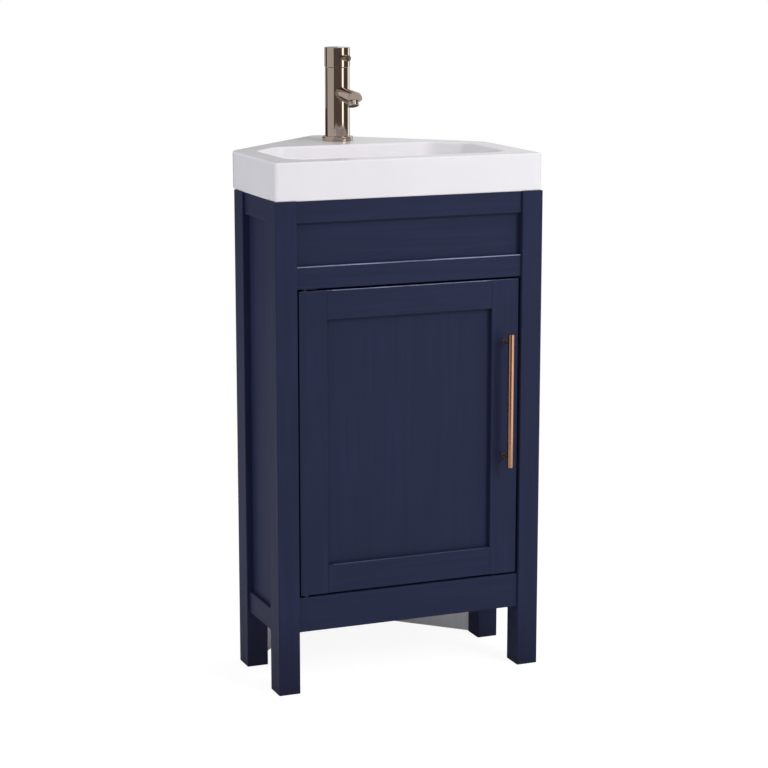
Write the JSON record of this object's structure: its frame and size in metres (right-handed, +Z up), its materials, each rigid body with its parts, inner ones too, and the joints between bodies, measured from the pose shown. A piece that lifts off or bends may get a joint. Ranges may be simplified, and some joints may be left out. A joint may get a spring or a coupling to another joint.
{
  "type": "corner vanity unit",
  "caption": "Corner bathroom vanity: navy panelled cabinet with an inset door, white ceramic basin and a single-lever faucet.",
  "frame": {"origin": "middle of the unit's footprint box, on the floor", "axes": "+X to the right along the front, +Y into the corner of the room, +Z up"},
  "size_m": [0.46, 0.4685, 1.0194],
  "materials": {
    "navy_paint": "satin navy paint over solid wood and board",
    "grey_board": "pale grey laminated board",
    "white_glaze": "gloss white glaze",
    "brushed_nickel": "brushed nickel plate",
    "satin_bronze": "satin copper-bronze",
    "zinc_steel": "zinc-plated steel",
    "black_steel": "black oxide",
    "plain_brass": "machined",
    "white_plastic": "moulded",
    "black_rubber": "matt"
  },
  "bodies": {
    "cabinet": {"front_left_leg": "navy_paint", "front_right_leg": "navy_paint", "rear_left_leg": "navy_paint", "rear_right_leg": "navy_paint", "top_rail": "navy_paint", "apron_panel": "navy_paint", "mid_rail": "navy_paint", "bottom_rail": "navy_paint", "left_side_top_rail": "navy_paint", "right_side_top_rail": "navy_paint", "left_side_bottom_rail": "navy_paint", "right_side_bottom_rail": "navy_paint", "left_side_panel": "navy_paint", "right_side_panel": "navy_paint", "left_back_panel": "grey_board", "right_back_panel": "grey_board", "back_corner_post": "grey_board", "cabinet_floor": "grey_board", "floor_cleats": "grey_board", "upper_hinge_bush": "black_steel", "lower_hinge_bush": "black_steel", "magnetic_catch": "white_plastic", "catch_screws": "zinc_steel", "basin": "white_glaze", "drain_body": "brushed_nickel", "drain_gasket": "black_rubber", "drain_locknut": "white_plastic", "drain_tailpiece": "brushed_nickel", "faucet_base_ring": "brushed_nickel", "faucet_body": "brushed_nickel", "faucet_spout": "brushed_nickel", "aerator": "brushed_nickel", "faucet_shank": "plain_brass", "mounting_washer": "zinc_steel", "mounting_nut": "plain_brass", "cartridge": "white_plastic"},
    "door": {"door_left_stile": "navy_paint", "door_right_stile": "navy_paint", "door_top_rail": "navy_paint", "door_bottom_rail": "navy_paint", "door_panel": "navy_paint", "upper_hinge_pin": "black_steel", "lower_hinge_pin": "black_steel", "catch_strike": "zinc_steel", "handle_bar": "satin_bronze", "handle_posts": "satin_bronze", "handle_screws": "zinc_steel"},
    "swivel": {"cartridge_neck": "white_plastic"},
    "lever": {"handle_cap": "brushed_nickel", "lever_pin": "brushed_nickel", "cartridge_stem": "zinc_steel", "stem_pin": "zinc_steel", "cap_screw": "zinc_steel"},
    "stopper": {"pop_up_stopper": "brushed_nickel"}
  },
  "joints": [
    {"name": "door_hinge", "type": "hinge", "parent": "cabinet", "child": "door", "pos_m": [-0.1805, -0.19676, 0.159], "axis": [0, 0, -1], "range_deg": [0, 105]},
    {"name": "handle_swivel", "type": "hinge", "parent": "cabinet", "child": "swivel", "pos_m": [0, 0.12174, 0.98645], "axis": [0, 0, 1], "range_deg": [-45, 45]},
    {"name": "handle_lift", "type": "hinge", "parent": "swivel", "child": "lever", "pos_m": [0, 0.12174, 0.99145], "axis": [-1, 0, 0], "range_deg": [0, 18]},
    {"name": "stopper_slide", "type": "slide", "parent": "cabinet", "child": "stopper", "axis": [0, 0, 1], "range_m": [0, 0.008]}
  ]
}
